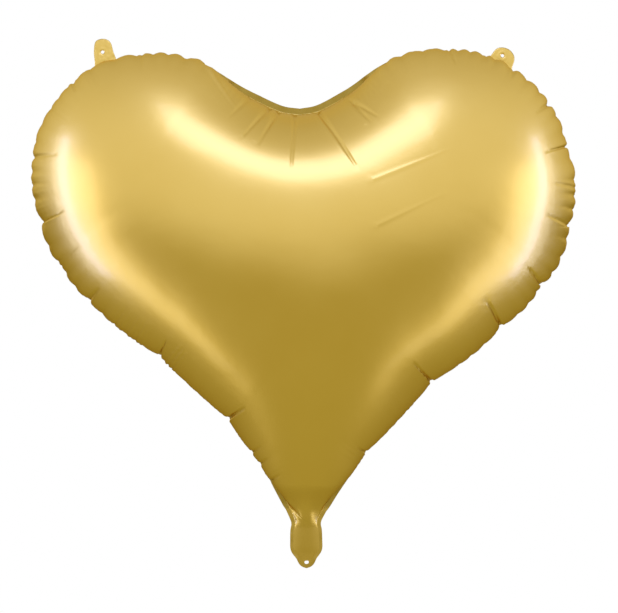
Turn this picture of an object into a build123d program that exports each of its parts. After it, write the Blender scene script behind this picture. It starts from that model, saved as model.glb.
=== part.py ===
from build123d import *
import math
import os

# A heart-shaped foil balloon, filled. X runs to the right, the front faces -Y and Z is up.
# The origin is the middle of the whole balloon, in the plane of the seam.

# Driving dimensions, in millimetres
film = 0.6                # a film's modelled thickness, thicker than the real film
valve_film = 0.25         # a valve film's modelled thickness
half_depth = 125.0        # seam plane to the crown of a panel
inner_shrink = 0.9965     # a panel's inner face against its outer face, about the heart's middle
inner_depth = 0.9945      # and its depth
middle_z = 60.0           # height of that middle
flange_width = 7.0        # welded edge outside the seam
side_x = 303.6            # the seam's furthest point from the middle
side_z = 131.0            # and its height
side_flat = 6.0           # half the upright run of the seam there

# The seam at stations across the right half: x, lower z, upper z
stations = [
    (0, -256, 212.5),
    (12, -247, 213.5),
    (25, -226, 218),
    (60, -172, 239),
    (100, -123.5, 267),
    (140, -85, 279.5),
    (180, -52.5, 280),
    (215, -23.5, 273),
    (245, 4, 257),
    (270, 30, 234),
    (288, 59, 207),
    (299, 90, 175),
]

neck_half = 16.0          # half width of the flat neck
neck_fold_z = -258.5      # where the neck bends
neck_gap = 1.3            # bend line to the films on either side of it
tail_half = 17.8          # half width of the filling tail
tail_bulge = 4.2          # how far each tail film stands from the seam plane
tail_open_z = -277.0      # where the tail reaches its full bulge
mouth_z = -288.0          # the filling mouth
tail_end_z = -309.0       # end of the ribbon tab
ribbon_hole_z = -302.6
ribbon_hole_radius = 2.2
ribbon_tab_radius = 7.8

valve_half = 14.0         # half width of the valve strip
valve_top_z = -132.0      # the valve's inner end
valve_tail_half = 11.0    # half width of the valve strip in the tail
valve_neck_z = -265.0     # where the strip widens into the tail
valve_tail_z = -273.0     # the valve's outer end, short of the mouth
valve_clearance = 0.05    # seam plane to each valve film

tab_gap = 0.9             # bend line to the film on either side of it
tab_root_half = 10.5      # half width of a hanging tab at its root
hanging_hole_radius = 2.0

edge_points = 60          # points along each half of the flange's edge

# Shares of the way up a cut at which its outline gets a point, closest at the seam
crown_u = [0.0, 0.015, 0.06, 0.16, 0.32, 0.52, 0.72, 0.88, 0.965, 0.993, 1.0]


def crown(x, u):
    # Depth of a panel at station x, u of the way from its lower to its upper seam.
    # Towards the tail the depth falls off evenly, at the round edges it falls off steeply.
    across = abs(x) / side_x
    peak = half_depth * math.sqrt(max(0.0, 1 - across**2.4))
    lower = 0.55 + 0.45 * math.exp(-((x / 45) ** 2))
    upper = 0.5
    top = lower / (lower + upper)
    return peak * (u / top) ** lower * ((1 - u) / (1 - top)) ** upper


def crown_sections(front, shrink, depth_shrink):
    # Upright cuts through the solid between the seam plane and a panel's face,
    # drawn in about the heart's middle.
    full = [(side_x - 0.4, side_z - side_flat, side_z + side_flat)] + stations[:0:-1]
    line = [(-x, low, high) for x, low, high in full] + [stations[0]]
    line += [(x, low, high) for x, low, high in reversed(full)]
    sections = []
    for x, low, high in line:
        points = []
        for u in crown_u:
            z = low + (high - low) * u
            depth = crown(x, u) * depth_shrink
            points.append((-depth if front else depth, middle_z + (z - middle_z) * shrink))
        with BuildSketch(Plane(origin=(x * shrink, 0, 0), x_dir=(0, 1, 0), z_dir=(1, 0, 0))) as cut:
            with BuildLine():
                Spline(*points)
                Line(points[-1], points[0])
            make_face()
        sections.append(cut.sketch)
    return sections


def seam_edges():
    # The seam's upper edge, left to right, and its lower edge, right to left.
    tops = [(x, high) for x, low, high in stations] + [(side_x, side_z + side_flat)]
    lows = [(x, low) for x, low, high in stations] + [(side_x, side_z - side_flat)]
    upper = [(-x, z) for x, z in tops[:0:-1]] + tops
    lower = lows[::-1] + [(-x, z) for x, z in lows[1:]]
    return Edge.make_spline(upper), Edge.make_spline(lower)


def flange_face():
    # The whole flange's outline: the seam moved out along its normals by the flange's width.
    with BuildSketch(Plane.XY) as face:
        with BuildLine():
            edges = []
            for edge in seam_edges():
                grown = []
                for i in range(edge_points + 1):
                    along = edge % (i / edge_points)
                    out = Vector(-along.Y, along.X)
                    grown.append((edge @ (i / edge_points)) + out * flange_width)
                edges.append(Spline(*grown))
            Line(edges[0] @ 1, edges[1] @ 0)
            Line(edges[1] @ 1, edges[0] @ 0)
        make_face()
    return face.sketch


def write(name, body):
    # Labels one finished piece and writes it to its own file.
    body.part.label = name
    export_step(body.part, "parts/" + name + ".step")
    print(name, round(body.part.volume), "mm3")


class Tab:
    # A hanging tab: its bend line's middle, the bend line's slope, its head and its hole,
    # the last two measured along and out from the bend line.
    def __init__(self, name, middle, slope, head, head_radius, hole):
        self.name = name
        self.slope = slope
        self.head = head
        self.head_radius = head_radius
        self.hole = hole
        self.plane = Plane(
            origin=(middle[0], 0, middle[1]),
            x_dir=(math.cos(math.radians(slope)), 0, math.sin(math.radians(slope))),
            z_dir=(0, -1, 0),
        )


left_tab = Tab("left_tab", (-227.5, 279.0), 24.0, (5.9, 13.0), 10.4, (5.5, 12.3))
right_tab = Tab("right_tab", (232.5, 274.5), -26.0, (1.2, 7.0), 12.0, (0.9, 7.6))


def make_panel(name, front):
    # One heart-shaped panel: its domed face and its half of the welded flange.
    side = 1 if front else -1
    with BuildPart() as body:
        loft(crown_sections(front, 1.0, 1.0))
        with BuildSketch(Plane.XZ):
            add(flange_face())
            with Locations((0, neck_fold_z + neck_gap)):
                Rectangle(2 * neck_half, 18, align=(Align.CENTER, Align.MIN))
                Rectangle(80, 40, align=(Align.CENTER, Align.MAX), mode=Mode.SUBTRACT)
            for tab in (left_tab, right_tab):
                # a short root for each hanging tab
                with Locations(Location((tab.plane.origin.X, tab.plane.origin.Z), tab.slope)):
                    with Locations((0, -tab_gap)):
                        Rectangle(2 * tab_root_half, 14, align=(Align.CENTER, Align.MAX))
        extrude(amount=side * film)
        loft(crown_sections(front, inner_shrink, inner_depth), mode=Mode.SUBTRACT)
    write(name, body)


def make_hanging_tab(name, tab, front):
    # One film of a hanging tab, outside its bend line, with its punched hole.
    with BuildPart() as body:
        with BuildSketch(tab.plane):
            with BuildLine():
                Line((-tab_root_half, tab_gap), (tab_root_half, tab_gap))
                CenterArc(tab.head, tab.head_radius, 0, 360)
            make_hull()
            with Locations((0, tab_gap)):
                Rectangle(80, 40, align=(Align.CENTER, Align.MAX), mode=Mode.SUBTRACT)
            with Locations(tab.hole):
                Circle(hanging_hole_radius, mode=Mode.SUBTRACT)
        extrude(amount=film if front else -film)
    write(name, body)


def make_tail_film(name, front):
    # One film of the filling tail: flat at the neck and arched at the mouth.
    # The front film runs on past the mouth as the ribbon tab.
    side = -1 if front else 1
    end_z = tail_end_z if front else mouth_z
    start_z = neck_fold_z - neck_gap
    with BuildPart() as body:
        for z, half, bulge in (
            (start_z, neck_half, 0.2),
            ((start_z + tail_open_z) / 2, (neck_half + tail_half) / 2, 0.6 * tail_bulge),
            (tail_open_z, tail_half, tail_bulge),
            (end_z, tail_half, tail_bulge),
        ):
            with BuildSketch(Plane.XY.offset(z)):
                with BuildLine():
                    ThreePointArc((-half, 0), (0, side * (bulge + film)), (half, 0))
                    Line((half, 0), (half - film, 0))
                    ThreePointArc((half - film, 0), (0, side * bulge), (film - half, 0))
                    Line((film - half, 0), (-half, 0))
                make_face()
        loft(ruled=True)
        if front:
            with BuildSketch(Plane.XZ):
                with BuildLine():
                    Line((-tail_half, start_z), (tail_half, start_z))
                    Line((tail_half, start_z), (tail_half, mouth_z))
                    Line((-tail_half, start_z), (-tail_half, mouth_z))
                    CenterArc((0, tail_end_z + ribbon_tab_radius), ribbon_tab_radius, 0, 360)
                make_hull()
                with Locations((0, ribbon_hole_z)):
                    Circle(ribbon_hole_radius, mode=Mode.SUBTRACT)
            extrude(amount=20, both=True, mode=Mode.INTERSECT)
    write(name, body)


def make_valve_film(name, front, in_tail):
    # One film of the self-sealing valve, on one side of the neck's bend.
    side = 1 if front else -1
    with BuildPart() as body:
        with BuildSketch(Plane.XZ.offset(side * valve_clearance)):
            if in_tail:
                with Locations((0, valve_neck_z)):
                    width = 2 * valve_tail_half
                    Rectangle(width, valve_neck_z - valve_tail_z, align=(Align.CENTER, Align.MAX))
            else:
                with BuildLine():
                    Polyline(
                        (-7, -246),
                        (7, -246),
                        (valve_half, -221),
                        (valve_half, valve_top_z),
                        (-valve_half, valve_top_z),
                        (-valve_half, -221),
                        close=True,
                    )
                make_face()
        extrude(amount=side * valve_film)
    write(name, body)


os.makedirs("parts", exist_ok=True)
for label, front in (("front", True), ("back", False)):
    make_panel(label + "_panel", front)
    make_valve_film("valve_" + label + "_film", front, False)
    make_tail_film("tail_" + label + "_film", front)
    make_valve_film("tail_valve_" + label, front, True)
    for tab in (left_tab, right_tab):
        make_hanging_tab(tab.name + "_" + label, tab, front)
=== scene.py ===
import bpy
import bmesh
import math
import numpy as np
from mathutils import Matrix, Vector, noise


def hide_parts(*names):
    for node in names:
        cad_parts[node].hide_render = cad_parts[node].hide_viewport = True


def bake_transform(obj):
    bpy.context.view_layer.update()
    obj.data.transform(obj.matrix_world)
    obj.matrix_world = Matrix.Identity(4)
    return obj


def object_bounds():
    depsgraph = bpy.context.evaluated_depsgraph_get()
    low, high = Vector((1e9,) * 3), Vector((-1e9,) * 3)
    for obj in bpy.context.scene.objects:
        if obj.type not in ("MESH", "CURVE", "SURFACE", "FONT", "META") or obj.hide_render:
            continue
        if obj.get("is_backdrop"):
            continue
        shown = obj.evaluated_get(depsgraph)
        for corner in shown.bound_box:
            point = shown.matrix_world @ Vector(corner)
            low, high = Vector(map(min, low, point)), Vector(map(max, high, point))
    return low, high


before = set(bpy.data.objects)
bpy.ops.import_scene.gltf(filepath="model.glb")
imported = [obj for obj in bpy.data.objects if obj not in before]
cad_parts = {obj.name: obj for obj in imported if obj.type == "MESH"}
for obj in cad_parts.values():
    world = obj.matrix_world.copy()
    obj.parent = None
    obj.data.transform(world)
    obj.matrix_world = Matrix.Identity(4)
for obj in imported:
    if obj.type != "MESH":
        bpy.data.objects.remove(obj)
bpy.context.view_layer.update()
scene = bpy.context.scene


# camera, level with the balloon and looking along +Y
camera = {"place": (0.0075, -2.39, -0.0066), "lens": 120, "sensor": 36, "roll": 0.9}

cameraData = bpy.data.cameras.new("camera")
cameraData.lens = camera["lens"]
cameraData.sensor_width = camera["sensor"]
cameraObject = bpy.data.objects.new("camera", cameraData)
cameraObject.location = camera["place"]
cameraObject.rotation_euler = (math.radians(90), math.radians(camera["roll"]), 0)
scene.collection.objects.link(cameraObject)
scene.camera = cameraObject
scene.view_settings.view_transform = "Standard"


# soft boxes at both sides, one above in front, and a graded room for the foil to mirror
studio = {
    "sideWatts": 12, "sideColour": (0.31, 0.39, 1.0),
    "sidePlace": (2.1, -0.75, -0.05), "sideSize": (0.26, 2.3),
    "fillWatts": 5.4, "fillColour": (1.0, 0.98, 0.84),
    "fillPlace": (1.95, -1.15, -0.8), "fillSize": (0.5, 3.0),
    "topWatts": 8, "topColour": (0.46, 0.55, 1.0),
    "topPlace": (0.02, -1.6, 2.0), "topSize": (1.1, 0.8),
    "floorZ": -2.5, "floorHalf": 3.2, "floorColour": (0.72, 0.73, 0.90), "floorRoughness": 0.7,
    "room": [(0.0, (0.54, 0.49, 0.15)), (0.25, (0.51, 0.45, 0.14)), (0.40, (0.46, 0.40, 0.11)),
             (0.50, (0.74, 0.69, 0.40)), (0.58, (0.92, 0.88, 0.62)), (0.80, (0.97, 0.94, 0.74)),
             (1.0, (0.82, 0.78, 0.6))],
    "behind": (0.60, 0.56, 0.34),
}


def addSoftBox(name, place, size, watts, colour, aim=(0, 0, 0)):
    data = bpy.data.lights.new(name, "AREA")
    data.shape = "RECTANGLE"
    data.size, data.size_y = size
    data.energy = watts
    data.color = colour
    box = bpy.data.objects.new(name, data)
    box.location = place
    box.rotation_euler = (Vector(aim) - Vector(place)).to_track_quat("-Z", "Y").to_euler()
    scene.collection.objects.link(box)


sideX, sideY, sideZ = studio["sidePlace"]
fillX, fillY, fillZ = studio["fillPlace"]
for name, turn in (("left", -1), ("right", 1)):
    addSoftBox(name + "SoftBox", (turn * sideX, sideY, sideZ), studio["sideSize"], studio["sideWatts"],
               studio["sideColour"], (0, 0, sideZ))
    addSoftBox(name + "Fill", (turn * fillX, fillY, fillZ), studio["fillSize"], studio["fillWatts"],
               studio["fillColour"], (0, 0, fillZ))
addSoftBox("topSoftBox", studio["topPlace"], studio["topSize"], studio["topWatts"], studio["topColour"])

world = bpy.data.worlds.new("room")
world.use_nodes = True
scene.world = world
nodes, links = world.node_tree.nodes, world.node_tree.links
coords = nodes.new("ShaderNodeTexCoord")
split = nodes.new("ShaderNodeSeparateXYZ")
height = nodes.new("ShaderNodeMapRange")
height.inputs["From Min"].default_value = -1
ramp = nodes.new("ShaderNodeValToRGB")
ramp.color_ramp.interpolation = "EASE"
for index, (place, shade) in enumerate(studio["room"]):
    stop = ramp.color_ramp.elements[index] if index < 2 else ramp.color_ramp.elements.new(place)
    stop.position = place
    stop.color = (*shade, 1)
depth = nodes.new("ShaderNodeMapRange")
depth.inputs["From Min"].default_value = -1
shaded = nodes.new("ShaderNodeMix")
shaded.data_type = "RGBA"
shaded.blend_type = "MULTIPLY"
shaded.inputs["B"].default_value = (*studio["behind"], 1)
seen = nodes.new("ShaderNodeLightPath")
backdrop = nodes.new("ShaderNodeMix")
backdrop.data_type = "RGBA"
backdrop.inputs["B"].default_value = (1, 1, 1, 1)
links.new(coords.outputs["Generated"], split.inputs[0])
links.new(split.outputs["Z"], height.inputs["Value"])
links.new(height.outputs[0], ramp.inputs[0])
links.new(split.outputs["Y"], depth.inputs["Value"])
links.new(ramp.outputs[0], shaded.inputs["A"])
links.new(depth.outputs[0], shaded.inputs["Factor"])
links.new(shaded.outputs["Result"], backdrop.inputs["A"])
links.new(seen.outputs["Is Camera Ray"], backdrop.inputs["Factor"])
links.new(backdrop.outputs["Result"], nodes["Background"].inputs["Color"])

bm = bmesh.new()
bmesh.ops.create_grid(bm, x_segments=4, y_segments=4, size=studio["floorHalf"],
                      matrix=Matrix.Translation((0, 0, studio["floorZ"])))
floorMesh = bpy.data.meshes.new("floor")
bm.to_mesh(floorMesh)
bm.free()
floor = bpy.data.objects.new("floor", floorMesh)
scene.collection.objects.link(floor)
floor.visible_glossy = False
floor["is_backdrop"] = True
paleFloor = bpy.data.materials.new("paleFloor")
paleFloor.use_nodes = True
floorShader = paleFloor.node_tree.nodes["Principled BSDF"]
floorShader.inputs["Base Color"].default_value = (*studio["floorColour"], 1)
floorShader.inputs["Roughness"].default_value = studio["floorRoughness"]
floorMesh.materials.append(paleFloor)
print("camera, lights and floor are made")


# fine crinkle that every film has: height, roughness and tone that wander over the surface
crinkleLook = {"distortion": 0.4, "grain": 700, "grainHeight": 0.06, "patch": 16, "patchRough": 0.5,
               "press": 260, "pressHeight": 0.5, "pressRough": 0.6, "weldAndShadeTone": -0.5}
crinkle = bpy.data.node_groups.new("filmCrinkle", "ShaderNodeTree")
for name, low in (("Scale", 60), ("Weld", 0)):
    socket = crinkle.interface.new_socket(name, in_out="INPUT", socket_type="NodeSocketFloat")
    socket.default_value = low
for name in ("Height", "Rough", "Tone"):
    crinkle.interface.new_socket(name, in_out="OUTPUT", socket_type="NodeSocketFloat")
nodes, links = crinkle.nodes, crinkle.links
given = nodes.new("NodeGroupInput")
result = nodes.new("NodeGroupOutput")
place = nodes.new("ShaderNodeTexCoord")


def addMath(nodes, links, operation, first, second):
    node = nodes.new("ShaderNodeMath")
    node.operation = operation
    for socket, value in zip(node.inputs, (first, second)):
        if isinstance(value, (int, float)):
            socket.default_value = value
        else:
            links.new(value, socket)
    return node.outputs[0]


def addNoise(nodes, links, vector, scale, detail, distortion=0.0):
    node = nodes.new("ShaderNodeTexNoise")
    node.inputs["Detail"].default_value = detail
    node.inputs["Distortion"].default_value = distortion
    if isinstance(scale, (int, float)):
        node.inputs["Scale"].default_value = scale
    else:
        links.new(scale, node.inputs["Scale"])
    links.new(vector, node.inputs["Vector"])
    return node.outputs["Fac"]


look, spot, weldAndShadeAmount = crinkleLook, place.outputs["Object"], given.outputs["Weld"]
soft = addNoise(nodes, links, spot, given.outputs["Scale"], 2, look["distortion"])
grain = addNoise(nodes, links, spot, look["grain"], 1)
patch = addNoise(nodes, links, spot, look["patch"], 3)
press = addNoise(nodes, links, spot, look["press"], 2)
welded = addMath(nodes, links, "MULTIPLY", press, weldAndShadeAmount)
grainHeight = addMath(nodes, links, "MULTIPLY", grain, look["grainHeight"])
pressHeight = addMath(nodes, links, "MULTIPLY", welded, look["pressHeight"])
softHeight = addMath(nodes, links, "ADD", soft, pressHeight)
patchRough = addMath(nodes, links, "MULTIPLY", patch, look["patchRough"])
pressRough = addMath(nodes, links, "MULTIPLY", welded, look["pressRough"])
# the weld attribute darkens the tone: the weld's own colour, and painted shade on the tail
weldAndShadeTone = addMath(nodes, links, "MULTIPLY", weldAndShadeAmount, look["weldAndShadeTone"])
links.new(addMath(nodes, links, "ADD", grainHeight, softHeight), result.inputs["Height"])
links.new(addMath(nodes, links, "ADD", patchRough, pressRough), result.inputs["Rough"])
links.new(addMath(nodes, links, "ADD", patch, weldAndShadeTone), result.inputs["Tone"])


# the three colours are two tones of the film and that of the pressed weld, which is also mixed over the tail
# as painted shade
def addMaterial(name, values, colours, roughRange, bump, scale):
    material = bpy.data.materials.new(name)
    material.use_nodes = True
    nodes, links = material.node_tree.nodes, material.node_tree.links
    shader = nodes["Principled BSDF"]
    for socket, value in values.items():
        shader.inputs[socket].default_value = value
    film = nodes.new("ShaderNodeGroup")
    film.node_tree = crinkle
    film.inputs["Scale"].default_value = scale
    # the weld attribute carries the weld and the tail's painted shade
    weldAndTailShade = nodes.new("ShaderNodeAttribute")
    weldAndTailShade.attribute_name = "weldAndTailShade"
    links.new(weldAndTailShade.outputs["Fac"], film.inputs["Weld"])
    tone = nodes.new("ShaderNodeMix")
    tone.data_type = "RGBA"
    tone.inputs["A"].default_value = (*colours[0], 1)
    tone.inputs["B"].default_value = (*colours[1], 1)
    links.new(film.outputs["Tone"], tone.inputs["Factor"])
    weldAndShadeMix = nodes.new("ShaderNodeMix")
    weldAndShadeMix.data_type = "RGBA"
    weldAndShadeMix.inputs["B"].default_value = (*colours[2], 1)
    links.new(weldAndTailShade.outputs["Fac"], weldAndShadeMix.inputs["Factor"])
    links.new(tone.outputs["Result"], weldAndShadeMix.inputs["A"])
    links.new(weldAndShadeMix.outputs["Result"], shader.inputs["Base Color"])
    rough = nodes.new("ShaderNodeMapRange")
    rough.inputs["To Min"].default_value, rough.inputs["To Max"].default_value = roughRange
    links.new(film.outputs["Rough"], rough.inputs["Value"])
    links.new(rough.outputs[0], shader.inputs["Roughness"])
    relief = nodes.new("ShaderNodeBump")
    relief.inputs["Strength"].default_value = 1
    relief.inputs["Distance"].default_value = bump
    links.new(film.outputs["Height"], relief.inputs["Height"])
    links.new(relief.outputs[0], shader.inputs["Normal"])
    return material


goldFoil = addMaterial(
    "goldFoil",
    {"Metallic": 1.0, "Coat Weight": 0.42, "Coat Roughness": 0.12, "Coat IOR": 1.6,
     "Specular Tint": (0.92, 0.70, 0.30, 1)},
    ((0.79, 0.565, 0.175), (0.83, 0.61, 0.21), (0.44, 0.315, 0.07)), (0.28, 0.36), 0.00012, 45)
valveFilm = addMaterial(
    "valveFilm", {"IOR": 1.45, "Specular IOR Level": 0.6},
    ((0.74, 0.75, 0.72), (0.86, 0.87, 0.85), (0.80, 0.81, 0.79)), (0.30, 0.45), 0.0003, 120)
print("materials are made")


# the weld line from the cleft round the right side to the tail's end, x and z
heart = {
    "seam": [(0, 0.2125), (0.025, 0.218), (0.060, 0.239), (0.100, 0.267), (0.140, 0.2795), (0.180, 0.280),
             (0.215, 0.273), (0.245, 0.257), (0.270, 0.234), (0.288, 0.207), (0.299, 0.175), (0.3036, 0.134),
             (0.299, 0.090), (0.288, 0.059), (0.270, 0.030), (0.245, 0.004), (0.215, -0.0235),
             (0.180, -0.0525), (0.140, -0.085), (0.100, -0.1235), (0.060, -0.172), (0.0345, -0.212),
             (0.0205, -0.2375), (0.0140, -0.2515), (0.0128, -0.2585), (0.0142, -0.266), (0.0146, -0.277),
             (0.0142, -0.288), (0.0085, -0.2965), (0.0048, -0.3035), (0, -0.3062)],
    "lean": 0.011, "leanMiddle": -0.08, "leanSpreads": (0.14, 0.10),
    "uneven": {"right": [(0.007, -0.015, 0.055), (0.003, -0.19, 0.045), (0.002, 0.10, 0.08)],
               "left": [(0.0058, 0.055, 0.10), (-0.0062, 0.262, 0.028)]},
    "segmentSwell": 0.034, "segmentMost": 0.0035, "segmentFolds": 0.55, "segmentsFrom": 0.06,
    "flankRise": (-0.19, -0.15), "flankEnd": (0.20, 0.25),
    "neck": (-0.262, -0.235), "depth": 0.124, "crownSteps": 900,
    "holePlace": (0, -0.3026), "holeRadius": 0.0022, "filmGap": 0.0003,
    "flat": (0.750, 0.645), "flatArea": 0.325,
}
lattice = {"spacing": 0.0042, "rimSpacing": 0.0017, "rimBand": 0.030, "overlap": 0.003,
           "tailSpacing": 0.0015, "tailTop": -0.2455, "rowRatio": 0.866, "margin": 0.6,
           "low": (-0.32, -0.308), "high": (0.32, 0.295), "tailHalf": 0.03}
# the tail's shade is painted shade: below the neck its film is mixed that far towards the weld colour, fading
# out over shadeEnds; the tail's border takes a lighter weld mix, partly weld colour and partly the same
# painted shade
tail = {"depths": [(-0.3, 0.0003), (-0.292, 0.0008), (-0.284, 0.0016), (-0.262, 0.0032), (-0.250, 0.0060)],
        "halfWidth": 0.0150, "flatness": 1.8, "meetsHeart": (-0.262, -0.208),
        "shade": 0.3, "shadeEnds": (-0.262, -0.232), "weldAndPaintedShade": 0.55, "weldAndPaintedShadeTop": -0.24,
        "backCut": -0.288, "foldFrom": (0, 0, -0.250), "foldTo": (0, 0, -0.266)}

# folds in the film: outer end x, z, inner end x, z, strength; a negative strength is a raised line
creases = [
    (0.241, 0.253, 0.236, 0.243, 0.4), (0.285, 0.220, 0.265, 0.207, 0.5), (0.302, 0.171, 0.276, 0.164, 0.6),
    (0.310, 0.124, 0.283, 0.128, 0.25), (0.304, 0.082, 0.277, 0.093, 0.56),
    (0.272, 0.015, 0.255, 0.035, 1.0), (0.224, -0.029, 0.208, -0.003, 1.0),
    (0.144, -0.091, 0.125, -0.071, 1.0), (0.068, -0.172, 0.056, -0.164, 0.6),
    (-0.256, 0.254, -0.249, 0.239, 0.6), (-0.302, 0.168, -0.273, 0.169, 0.25),
    (-0.296, 0.094, -0.270, 0.103, 0.7), (-0.275, 0.043, -0.265, 0.053, 0.6),
    (-0.235, 0.014, -0.226, 0.022, 0.5), (-0.162, -0.059, -0.152, -0.040, 1.0),
    (-0.082, -0.129, -0.065, -0.118, 1.0), (-0.058, -0.171, -0.046, -0.162, 0.5),
    (-0.048, -0.185, -0.037, -0.176, 0.5), (-0.033, -0.203, -0.024, -0.196, 0.4),
    (0.171, 0.279, 0.177, 0.260, 0.5), (0.214, 0.273, 0.210, 0.262, 0.35),
    (-0.179, 0.279, -0.179, 0.262, 0.35), (-0.130, 0.283, -0.130, 0.271, 0.35),
    (0.131, 0.283, 0.131, 0.274, 0.3), (0.154, 0.285, 0.153, 0.276, 0.3),
    (-0.005, 0.210, -0.009, 0.156, 0.45), (0.023, 0.213, 0.057, 0.157, 0.6),
    (-0.028, 0.209, -0.044, 0.179, 0.45), (-0.041, 0.212, -0.061, 0.187, 0.4),
    (0.068, 0.219, 0.086, 0.206, 0.3), (0.068, 0.214, 0.079, 0.200, 0.25),
    (-0.062, 0.226, -0.078, 0.208, 0.25), (-0.122, 0.273, -0.078, 0.224, -0.3),
    (0.108, 0.143, 0.163, 0.164, -0.07), (0.108, 0.093, 0.156, 0.115, -0.05),
    (-0.016, -0.240, -0.001, -0.256, 0.3), (0.021, -0.243, 0.018, -0.253, 0.25),
]
fold = {"depth": 0.0058, "width": 0.0014, "narrowing": (1.3, 0.7), "pinchSpread": 0.007,
        "lip": 0.10, "lipPlace": 2.6, "lipWidth": 1.2, "pastEnd": 1.2, "pastStart": -0.6, "start": 0.002,
        "fineAlong": (-0.5, 1.15), "fineAcross": 0.008}


def smoothLine(points, steps=16):
    line = []
    before, after = 2 * Vector(points[0]) - Vector(points[1]), 2 * Vector(points[-1]) - Vector(points[-2])
    given = [before, *map(Vector, points), after]
    for a, b, c, d in zip(given, given[1:], given[2:], given[3:]):
        for k in range(steps):
            t = k / steps
            line.append(0.5 * (2 * b + (c - a) * t + (2 * a - 5 * b + 4 * c - d) * t * t
                               + (3 * b - a - 3 * c + d) * t ** 3))
    return [tuple(p) for p in line] + [tuple(points[-1])]


def evenLoop(points, spacing):
    points = np.array(points)
    ahead = np.roll(points, -1, 0)
    cells = np.linalg.norm(ahead - points, axis=1) / spacing((points + ahead)[:, 1] / 2)
    along = np.concatenate([[0], np.cumsum(cells)])
    closed = np.vstack([points, points[:1]])
    wanted = np.linspace(0, along[-1], int(round(along[-1])), endpoint=False)
    return np.stack([np.interp(wanted, along, closed[:, k]) for k in (0, 1)], 1)


def roundLoop(centre, radius, count):
    turn = np.linspace(0, 2 * math.pi, count, endpoint=False)
    return np.stack([centre[0] + radius * np.cos(turn), centre[1] + radius * np.sin(turn)], 1)


def isInside(places, loop):
    x, z = places.T
    found = np.zeros(len(places), bool)
    for (x1, z1), (x2, z2) in zip(loop, np.roll(loop, -1, 0)):
        found ^= ((z1 > z) != (z2 > z)) & (x < (x2 - x1) * (z - z1) / (z2 - z1 + 1e-15) + x1)
    return found


def loopDistance(places, loop):
    best, nearest = np.full(len(places), 1e9), np.zeros(len(places), int)
    for index, (a, b) in enumerate(zip(loop, np.roll(loop, -1, 0))):
        span = b - a
        t = np.clip(((places - a) @ span) / max(span @ span, 1e-18), 0, 1)
        distance = np.linalg.norm(places - (a + t[:, None] * span), axis=1)
        closer = distance < best
        best[closer], nearest[closer] = distance[closer], index
    return best, nearest


# a flat film with even triangle lattices inside its outline and holes
def makeFlatFilm(outline, holes, lattices):
    bm = bmesh.new()
    for spacing, low, high, wanted in lattices:
        rowStep = spacing * lattice["rowRatio"]
        across = math.ceil((high[0] - low[0]) / spacing)
        rows = math.ceil((high[1] - low[1]) / rowStep)
        made = bmesh.ops.create_grid(bm, x_segments=across, y_segments=rows, size=0.5,
                                     matrix=Matrix.Rotation(math.pi / 2, 4, "X"))["verts"]
        for v in made:
            column, row = round((v.co.x + 0.5) * across), round((v.co.z + 0.5) * rows)
            v.co = (low[0] + spacing * (column + row % 2 / 2), 0, low[1] + rowStep * row)
        bmesh.ops.triangulate(bm, faces=[f for f in bm.faces if len(f.verts) == 4], quad_method="SHORT_EDGE")
        places = np.array([(v.co.x, v.co.z) for v in made])
        margin = lattice["margin"] * spacing
        distance = loopDistance(places, outline)[0]
        keep = isInside(places, outline) & (distance > margin) & wanted(places, distance)
        for hole in holes:
            keep &= ~isInside(places, hole) & (loopDistance(places, hole)[0] > margin)
        bmesh.ops.delete(bm, geom=[v for v, kept in zip(made, keep) if not kept], context="VERTS")
    bmesh.ops.delete(bm, geom=[v for v in bm.verts if not v.link_faces], context="VERTS")
    edges = [e for e in bm.edges if e.is_boundary]
    rims = []
    for loop in (outline, *holes):
        verts = [bm.verts.new((x, 0, z)) for x, z in loop]
        edges += [bm.edges.new(pair) for pair in zip(verts, verts[1:] + verts[:1])]
        rims.append(verts)
    bmesh.ops.triangle_fill(bm, use_beauty=True, edges=edges, normal=(0, -1, 0))
    bmesh.ops.recalc_face_normals(bm, faces=bm.faces[:])
    if sum(f.normal.y for f in bm.faces) > 0:
        bmesh.ops.reverse_faces(bm, faces=bm.faces[:])
    bm.verts.index_update()
    return bm, [[v.index for v in rim] for rim in rims]


# an evenly loaded film over the outline gives the square of the crown
def crownHeights(flat, faces, rim):
    a, b, c = (flat[faces[:, k]] for k in range(3))
    area = np.linalg.norm(np.cross(b - a, c - a), axis=1)
    pairs, weights = [], []
    for i, j, k in ((0, 1, 2), (1, 2, 0), (2, 0, 1)):
        u, v = flat[faces[:, i]] - flat[faces[:, k]], flat[faces[:, j]] - flat[faces[:, k]]
        pairs.append(faces[:, [i, j]])
        weights.append((u * v).sum(1) / area)
    a, b = np.concatenate(pairs).T
    weight, size = np.concatenate(weights), len(flat)
    free = np.ones(size)
    free[rim] = 0
    u = np.zeros(size)
    rest = np.bincount(faces.ravel(), np.repeat(area / 3, 3), size) * free
    step, left = rest.copy(), rest @ rest
    for _ in range(heart["crownSteps"]):
        d = (step[a] - step[b]) * weight
        pull = (np.bincount(a, d, size) - np.bincount(b, d, size)) * free
        share = left / (step @ pull)
        u += share * step
        rest = rest - share * pull
        left, before = rest @ rest, left
        step = rest + left / before * step
    return np.sqrt(np.maximum(u, 0))


def pointNormals(film, faces):
    a, b, c = (film[faces[:, k]] for k in range(3))
    across = np.cross(b - a, c - a)
    total = np.stack([np.bincount(faces.ravel(), np.repeat(across[:, k], 3), len(film)) for k in range(3)], 1)
    return total / np.maximum(np.linalg.norm(total, axis=1), 1e-12)[:, None]


def ease(value, low, high):
    t = np.clip((value - low) / (high - low), 0, 1)
    return t * t * (3 - 2 * t)


def leanAt(z):
    above = z > heart["leanMiddle"]
    spread = np.where(above, *heart["leanSpreads"])
    return heart["lean"] * np.exp(-((z - heart["leanMiddle"]) / spread) ** 2) * ease(z, *heart["neck"])


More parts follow.
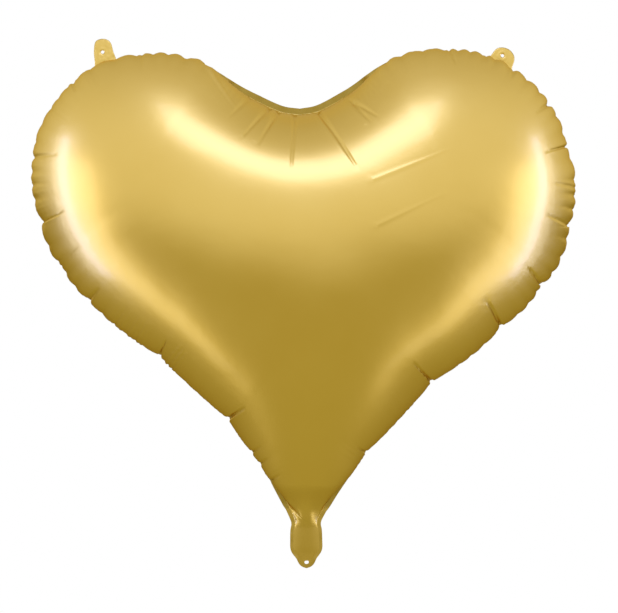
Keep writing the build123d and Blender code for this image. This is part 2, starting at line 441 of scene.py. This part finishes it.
# how far along a crease and how far off it each place is
def creasePlace(places, crease):
    start, run = np.array(crease[:2]), np.array((crease[2] - crease[0], crease[3] - crease[1]))
    length = np.linalg.norm(run)
    run /= length
    return (places - start) @ run / length, np.abs((places - start) @ np.array((-run[1], run[0])))


def creaseNear(places):
    near = np.zeros(len(places), bool)
    first, last = fold["fineAlong"]
    for crease in creases:
        t, off = creasePlace(places, crease)
        near |= (t > first) & (t < last) & (off < fold["fineAcross"])
    return near


def isFine(places, distance):
    return (distance < lattice["rimBand"]) | creaseNear(places)


def loopFrame(outline):
    ahead = np.roll(outline, -1, 0) - np.roll(outline, 1, 0)
    ahead /= np.linalg.norm(ahead, axis=1)[:, None]
    outward = np.stack([-ahead[:, 1], ahead[:, 0]], 1)
    if isInside(outline[:1] + 0.001 * outward[:1], outline)[0]:
        outward = -outward
    step = np.linalg.norm(np.roll(outline, -1, 0) - outline, axis=1)
    return ahead, outward, step, np.concatenate([[0], np.cumsum(step)[:-1]])


right = smoothLine(heart["seam"])
outline = np.array(right + [(-x, z) for x, z in reversed(right[1:-1])])
for side, moves in heart["uneven"].items():
    onSide = outline[:, 0] > 0 if side == "right" else outline[:, 0] < 0
    for shift, z, spread in moves:
        outline[:, 0] += onSide * shift * np.exp(-((outline[:, 1] - z) / spread) ** 2)
outline[:, 0] += leanAt(outline[:, 1])
tailTop = lattice["tailTop"]
outline = evenLoop(outline, lambda z: np.where(z > tailTop, lattice["rimSpacing"], lattice["tailSpacing"]))

# the outline swells a little between the strong folds of the flanks
ahead, outward, stepLength, along = loopFrame(outline)
whole = stepLength.sum()
strong = sorted(along[np.argmin(np.linalg.norm(outline - np.array(c[:2]), axis=1))]
                for c in creases if c[4] >= heart["segmentFolds"] and abs(c[0]) > heart["segmentsFrom"])
swell = np.zeros(len(outline))
for first, last in zip(strong, strong[1:] + [strong[0] + whole]):
    share = ((along - first) % whole) / (last - first)
    most = min(heart["segmentSwell"] * (last - first), heart["segmentMost"])
    swell += np.where(share < 1, 4 * share * (1 - share), 0) * most
flanks = ease(outline[:, 1], *heart["flankRise"]) * (1 - ease(outline[:, 1], *heart["flankEnd"]))
outline += outward * (swell * flanks)[:, None]

ribbonHole = roundLoop(heart["holePlace"], heart["holeRadius"], 18)
(lowX, lowZ), high = lattice["low"], lattice["high"]
bm, (rim, holeRim) = makeFlatFilm(outline, [ribbonHole], [
    (lattice["spacing"], (lowX, tailTop), high, lambda p, d: ~isFine(p, d - lattice["overlap"])),
    (lattice["rimSpacing"], (lowX, tailTop + 0.001), high, isFine),
    (lattice["tailSpacing"], (-lattice["tailHalf"], lowZ), (lattice["tailHalf"], tailTop),
     lambda p, d: p[:, 1] < tailTop - 0.0008)])
flatMesh = bpy.data.meshes.new("flatFilm")
bm.to_mesh(flatMesh)
flat = np.array([v.co for v in bm.verts])
faces = np.array([[v.index for v in f.verts] for f in bm.faces])
print("flat film has", len(flat), "points,", len(faces), "faces and", len(rim), "points on its rim")
bm.free()
spots = flat[:, [0, 2]]
rimDistance, nearRim = loopDistance(spots, outline)


# how the film gathers, bulges past the weld and is pinched along the rim
gathers = {
    "bendSmooth": (20, 10), "smooth": 12, "base": 0.25, "perBend": 0.11, "range": (0.05, 1),
    "cleftHalf": 0.085, "cleftRise": (0.10, 0.15), "neckRise": (-0.225, -0.19),
    "calmLobe": {"x": -0.27, "spread": 0.05, "above": 0.14, "share": 0.65},
    "scallop": 0.0078, "scallopLength": 0.019, "scallopPower": 0.85,
    "scallopDrift": ((0.35, 23, 1), (0.25, 57, 0.4)), "pinch": 0.008, "pinchReach": 0.007,
    "bulge": 0.0148, "bulgeShare": 0.35, "bulgeRise": 0.003, "bulgeReach": 0.040,
    "clearTail": 0.1, "clearRise": (-0.250, -0.190),
}


def smoothRing(values, width):
    padded = np.concatenate([values[-width:], values, values[:width]])
    return np.convolve(padded, np.ones(2 * width + 1) / (2 * width + 1), "valid")


ahead, outward, stepLength, along = loopFrame(outline)
turn = ahead[:, 0] * np.roll(ahead, -1, 0)[:, 1] - ahead[:, 1] * np.roll(ahead, -1, 0)[:, 0]
bend = turn * np.sign(turn.sum()) / stepLength
for width in gathers["bendSmooth"]:
    bend = smoothRing(bend, width)
rimX, rimZ = outline.T
cleft = np.exp(-(rimX / gathers["cleftHalf"]) ** 4) * ease(rimZ, *gathers["cleftRise"])
lower = ease(rimZ, *gathers["neckRise"])
calm = gathers["calmLobe"]
calmShare = calm["share"] * np.exp(-((rimX - calm["x"]) / calm["spread"]) ** 2) * (rimZ > calm["above"])
bent = np.clip(gathers["base"] + bend * gathers["perBend"], *gathers["range"]) * (1 - calmShare)
gather = smoothRing(bent, gathers["smooth"]) * lower * (1 - cleft)
phase = along / gathers["scallopLength"]
for size, turns, start in gathers["scallopDrift"]:
    phase = phase + size * np.sin(along * turns + start)
scallop = 1 - np.abs(np.sin(math.pi * phase)) ** gathers["scallopPower"]
pinch = np.zeros(len(rim))
for crease in creases:
    closest = np.argmin(np.linalg.norm(outline - np.array(crease[:2]), axis=1))
    gap = np.abs(along - along[closest])
    gap = np.minimum(gap, along[-1] - gap)
    pinch = np.maximum(pinch, crease[4] * np.exp(-(gap / fold["pinchSpread"]) ** 0.9))
clearTail = gathers["clearTail"]
clear = (1 - cleft) * (clearTail + (1 - clearTail) * ease(rimZ, *gathers["clearRise"]))
bulge = (gathers["bulge"] + gathers["bulgeShare"] * gathers["scallop"] * gather) * clear
tuck = (gathers["scallop"] * scallop * gather + gathers["pinch"] * pinch) * clear

# the crown, the flat tail and the bulge past the weld
crown = crownHeights(flat, faces, rim + holeRim)
crown *= heart["depth"] / crown[spots[:, 1] > 0].max()
heartShare = ease(spots[:, 1], *tail["meetsHeart"])
tailDepth = np.interp(spots[:, 1], *zip(*tail["depths"]))
tailCrown = np.clip(1 - (spots[:, 0] / tail["halfWidth"]) ** 2, 0, 1) ** tail["flatness"] * tailDepth
film = flat.copy()
film[:, 1] = -(crown * heartShare + tailCrown * (1 - heartShare) * (rimDistance > 1e-6))
rise = 1 - np.exp(-rimDistance / gathers["bulgeRise"])
bulged = bulge[nearRim] * np.exp(-rimDistance / gathers["bulgeReach"])
tucked = tuck[nearRim] * np.exp(-rimDistance / gathers["pinchReach"])
film[:, [0, 2]] += outward[nearRim] * (rise * (bulged - tucked))[:, None]

# the folds, the short ripples of the rim and a slight unevenness, along the film's own normals
ripple = {
    "height": 0.00035, "length": 0.0060, "wander": 40, "reach": (0.009, 0.006), "start": 0.003,
    "strongAt": -0.14, "strongSpread": 0.06, "strongShare": 4,
    "swell": 0.0008, "swellScale": 13, "swellStart": 0.02, "swellRise": (-0.25, -0.20),
}
normals = pointNormals(film, faces)
push = np.zeros(len(film))
for crease in creases:
    t, off = creasePlace(spots, crease)
    wide, narrower = fold["narrowing"]
    spread = fold["width"] * (wide - narrower * np.clip(t, 0, 1))
    taper = np.clip(fold["pastEnd"] - t, 0, 1) ** 0.6 * (t > fold["pastStart"])
    taper *= ease(rimDistance, 0, fold["start"])
    lip = fold["lip"] * np.exp(-((off - fold["lipPlace"] * spread) / (fold["lipWidth"] * spread)) ** 2)
    push -= fold["depth"] * crease[4] * taper * (np.exp(-(off / spread) ** 1.2) - lip)
wander = np.array([noise.noise(Vector((s * ripple["wander"], 0.3, 0))) for s in along])
shortFolds = np.sin(2 * math.pi * along / ripple["length"] + 4 * wander) * np.clip(wander * 2.2 + 0.6, 0, 1)
reach = ripple["reach"][0] + ripple["reach"][1] * np.clip(wander + 0.5, 0, 1)
strongest = np.exp(-((rimX - ripple["strongAt"]) / ripple["strongSpread"]) ** 2) * (rimZ < 0)
shortFolds *= (0.85 - 0.55 * gather) * lower * (1 + ripple["strongShare"] * strongest)
push += ripple["height"] * shortFolds[nearRim] * np.exp(-rimDistance / reach[nearRim]) \
    * ease(rimDistance, 0, ripple["start"])
uneven = np.array([noise.noise(Vector((x, 0, z)) * ripple["swellScale"]) for x, z in spots])
push += ripple["swell"] * uneven * ease(spots[:, 1], *ripple["swellRise"]) \
    * ease(rimDistance, 0, ripple["swellStart"])
film += normals * push[:, None]
print("crown is", round(-film[:, 1].min(), 4), "m deep")


tabs = {
    "leftTab": {
        "outline": [(-0.2375, 0.262), (-0.2367, 0.279), (-0.2377, 0.293), (-0.2362, 0.3040),
                    (-0.2310, 0.3078), (-0.2235, 0.3076), (-0.2178, 0.3030), (-0.2150, 0.293),
                    (-0.2115, 0.283), (-0.2070, 0.262)],
        "hole": (-0.2275, 0.2925), "holeRadius": 0.0020, "fold": (-0.2275, 0.279), "foldTurn": 24,
        "body": "left_tab", "replaced": ("left_tab_front", "left_tab_back"),
        "flat": (0.031, 0.046), "area": 0.00114,
        "crease": (0.0005, 0.0022), "ring": 0.0002, "ripple": 0.0004, "tilt": 0.16,
    },
    "rightTab": {
        "outline": [(0.2130, 0.262), (0.2185, 0.2745), (0.2240, 0.2825), (0.2300, 0.2893), (0.2375, 0.2907),
                    (0.2455, 0.2875), (0.2502, 0.2805), (0.2500, 0.2735), (0.2475, 0.2665), (0.2465, 0.254)],
        "hole": (0.2366, 0.2809), "holeRadius": 0.0020, "fold": (0.2325, 0.2745), "foldTurn": -26,
        "body": "right_tab", "replaced": ("right_tab_front", "right_tab_back"),
        "flat": (0.037, 0.037), "area": 0.00095,
        "crease": (0.0004, 0.0020), "ring": 0.0003, "ripple": 0.0002, "tilt": 0.16,
    },
}
tabFilm = {"spacing": 0.0012, "wall": 0.0004, "ringRadius": 0.0046, "ringWidth": 0.0009,
           "freeFrom": 0.004, "freeOver": 0.006, "foldHalf": 0.002, "calmRim": 0.019}
nearTab = np.zeros(len(rim))
for tab in tabs.values():
    away = np.linalg.norm(outline - np.array(tab["fold"]), axis=1)
    nearTab = np.maximum(nearTab, np.exp(-(away / tabFilm["calmRim"]) ** 4))

# the welded border; its rings are share of the width and share of the wave
border = {"width": 0.0060, "sideExtra": 0.0006, "sideAt": 0.3, "cleftWidth": 0.0075, "tailWidth": 0.0040,
          "pinched": 0.45, "rings": ((0.10, 0.0), (0.55, 0.5), (1.0, 1.0)),
          "wave": 0.0014, "shortWave": 0.0135, "longWave": 0.031, "leastWave": 0.10}
borderWidth = np.interp(rimZ, heart["neck"], (border["tailWidth"], border["width"]))
borderWidth += (border["cleftWidth"] - border["width"]) * cleft
borderWidth += border["sideExtra"] * np.abs(rimX) / border["sideAt"] * lower
borderWidth *= 1 - border["pinched"] * pinch * (1 - cleft)
shortWave = 0.6 * np.sin(along * 2 * math.pi / border["shortWave"] + 2 * np.sin(along * 31))
longWave = np.sin(along * 2 * math.pi / border["longWave"] + np.sin(along * 17 + 2))
wave = border["wave"] * (shortWave + longWave) * (gather + border["leastWave"]) * (1 - nearTab)


# one panel with its welded border, which waves the same way on both sides
def makePanel(name, side, replaced):
    bm = bmesh.new()
    bm.from_mesh(flatMesh)
    bm.verts.ensure_lookup_table()
    weldAndShadeLayer = bm.verts.layers.float.new("weldAndTailShade")
    for v, place in zip(bm.verts, film):
        v.co = (place[0], (place[1] - heart["filmGap"]) * side, place[2])
        # painted shade: below the neck the tail's film is mixed towards the weld colour
        v[weldAndShadeLayer] = np.interp(place[2], tail["shadeEnds"], (tail["shade"], 0))
    order = {bm.verts[index]: i for i, index in enumerate(rim)}
    edges = [e for e in bm.edges if e.is_boundary and e.verts[0] in order and e.verts[1] in order]
    for share, lift in border["rings"]:
        made = bmesh.ops.extrude_edge_only(bm, edges=edges)["geom"]
        edges = [g for g in made if isinstance(g, bmesh.types.BMEdge)]
        fresh = {}
        for v in (g for g in made if isinstance(g, bmesh.types.BMVert)):
            i = next(order[e.other_vert(v)] for e in v.link_edges if e.other_vert(v) in order)
            fresh[v] = i
            x, z = outline[i] + outward[i] * borderWidth[i] * share
            v.co = (x, wave[i] * lift - heart["filmGap"] * side, z)
            # weld colour on the border; on the tail the border takes a lighter mix, partly weld colour and
            # partly painted shade like the tail's film
            v[weldAndShadeLayer] = 1 if z > tail["weldAndPaintedShadeTop"] else tail["weldAndPaintedShade"]
        order = fresh
    if side < 0:
        bmesh.ops.bisect_plane(bm, geom=bm.verts[:] + bm.edges[:] + bm.faces[:], dist=1e-6,
                               plane_co=(0, 0, tail["backCut"]), plane_no=(0, 0, -1), clear_outer=True)
        bmesh.ops.reverse_faces(bm, faces=bm.faces[:])
    for f in bm.faces:
        f.smooth = True
    mesh = bpy.data.meshes.new(name)
    bm.to_mesh(mesh)
    bm.free()
    mesh.materials.append(goldFoil)
    panel = bpy.data.objects.new(name, mesh)
    scene.collection.objects.link(panel)
    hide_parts(*replaced)
    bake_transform(panel)
    area = sum(p.area for p in mesh.polygons)
    print(name, "has", len(mesh.polygons), "faces and", round(area, 4), "square metres")


makePanel("frontFilm", 1, ("front_panel", "tail_front_film"))
makePanel("backFilm", -1, ("back_panel", "tail_back_film"))


# a hanging tab on the welded border: flat film with one punched hole, leaning back a little above its fold
def makeTab(name, tab):
    loop = evenLoop(smoothLine(tab["outline"], 8), lambda z: tabFilm["spacing"] + 0 * z)
    low, high = loop.min(0) - 0.002, loop.max(0) + 0.002
    bm, rims = makeFlatFilm(loop, [roundLoop(tab["hole"], tab["holeRadius"], 20)],
                            [(tabFilm["spacing"], low, high, lambda p, d: d > 0)])
    slope = math.radians(tab["foldTurn"])
    middle, hole = Vector(tab["fold"]), Vector(tab["hole"])
    deep, wide = tab["crease"]
    for v in bm.verts:
        place = Vector((v.co.x, v.co.z))
        spot = place - middle
        up = -spot.x * math.sin(slope) + spot.y * math.cos(slope)
        free = max(0.0, min(1.0, (up + tabFilm["freeFrom"]) / tabFilm["freeOver"]))
        ripples = noise.noise(Vector((v.co.x * 130, v.co.z * 90, 1.7))) + 0.5 * noise.noise(v.co * 330)
        ring = math.exp(-(((place - hole).length - tabFilm["ringRadius"]) / tabFilm["ringWidth"]) ** 2)
        v.co.y = free * (deep * math.exp(-(up / wide) ** 2) + tab["ripple"] * ripples
                         - tab["ring"] * ring + tab["tilt"] * max(up, 0))
    for f in bm.faces:
        f.smooth = True
    mesh = bpy.data.meshes.new(name)
    bm.to_mesh(mesh)
    bm.free()
    mesh.materials.append(goldFoil)
    piece = bpy.data.objects.new(name, mesh)
    scene.collection.objects.link(piece)
    wall = piece.modifiers.new("wall", "SOLIDIFY")
    wall.thickness = tabFilm["wall"]
    wall.offset = 0
    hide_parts(*tab["replaced"])
    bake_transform(piece)


for name, tab in tabs.items():
    makeTab(name, tab)
print("hanging tabs are made")

for name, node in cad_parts.items():
    if name.startswith("valve") or name.startswith("tail_valve"):
        for slotIndex in range(len(node.material_slots)):
            node.material_slots[slotIndex].material = valveFilm

low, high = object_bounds()
print("whole balloon measures", [round(b - a, 4) for a, b in zip(low, high)])
